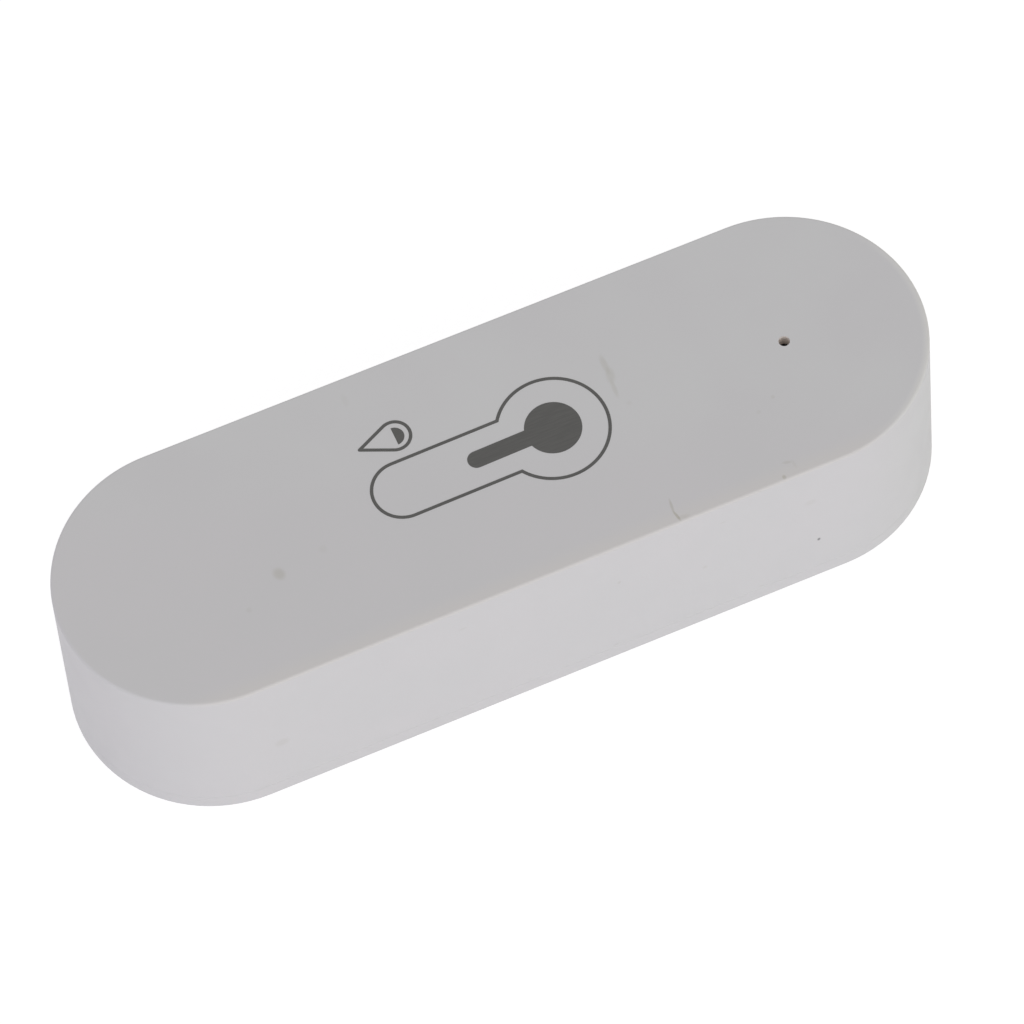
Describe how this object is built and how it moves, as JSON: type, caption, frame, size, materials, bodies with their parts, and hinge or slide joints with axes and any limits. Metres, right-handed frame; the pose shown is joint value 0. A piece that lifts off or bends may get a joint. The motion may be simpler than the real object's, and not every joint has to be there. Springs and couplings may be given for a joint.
{
  "type": "smart thermometer hygrometer",
  "caption": "Pill-shaped pale plastic climate sensor with an indicator pinhole, a thermometer mark on the front, battery cells inside and a snap-off back cover.",
  "frame": {"origin": "middle of the back face, on the surface that the sensor lies on", "axes": "+X along the length towards the indicator pinhole, +Y across the width, +Z out of the front face"},
  "size_m": [0.08, 0.0256, 0.019],
  "materials": {
    "cover_plastic": "fine satin moulded surface",
    "carrier_plastic": "plain moulded surface",
    "cell_wrap": "printed shrink sleeve",
    "nickel_sheet": "nickel plated",
    "board_green": "solder mask",
    "radio_board_black": "solder mask",
    "shield_steel": "drawn tinned sheet",
    "led_lens": "clear resin",
    "chip_epoxy": "moulded epoxy",
    "capacitor_ceramic": "fired ceramic",
    "can_aluminium": "drawn can",
    "switch_plastic": "moulded",
    "button_plastic": "moulded",
    "screw_steel": "zinc plated"
  },
  "bodies": {
    "back_cover": {"back_cover": "cover_plastic"},
    "housing": {"top_cover": "cover_plastic", "battery_carrier": "carrier_plastic", "battery_cell_1": "cell_wrap", "battery_cell_2": "cell_wrap", "link_contact_plate": "nickel_sheet", "link_contact_spring": "nickel_sheet", "positive_contact_plate": "nickel_sheet", "negative_contact_plate": "nickel_sheet", "negative_contact_spring": "nickel_sheet", "main_board": "board_green", "radio_board": "radio_board_black", "radio_shield": "shield_steel", "indicator_led": "led_lens", "regulator_chip": "chip_epoxy", "chip_capacitors": "capacitor_ceramic", "chip_resistors": "chip_epoxy", "climate_sensor": "chip_epoxy", "bulk_capacitor": "can_aluminium", "switch_body": "switch_plastic", "switch_terminals": "nickel_sheet", "carrier_screws": "screw_steel", "board_screws": "screw_steel"},
    "pairing_button": {"pairing_button": "button_plastic", "switch_plunger": "switch_plastic"}
  },
  "joints": [
    {"name": "housing_lift", "type": "slide", "parent": "back_cover", "child": "housing", "axis": [0, 0, 1], "range_m": [0, 0.03]},
    {"name": "button_press", "type": "slide", "parent": "housing", "child": "pairing_button", "axis": [0, 0, 1], "range_m": [0, 0.00025], "stiffness_N_per_m": 600, "springref_m": -0.0008}
  ]
}
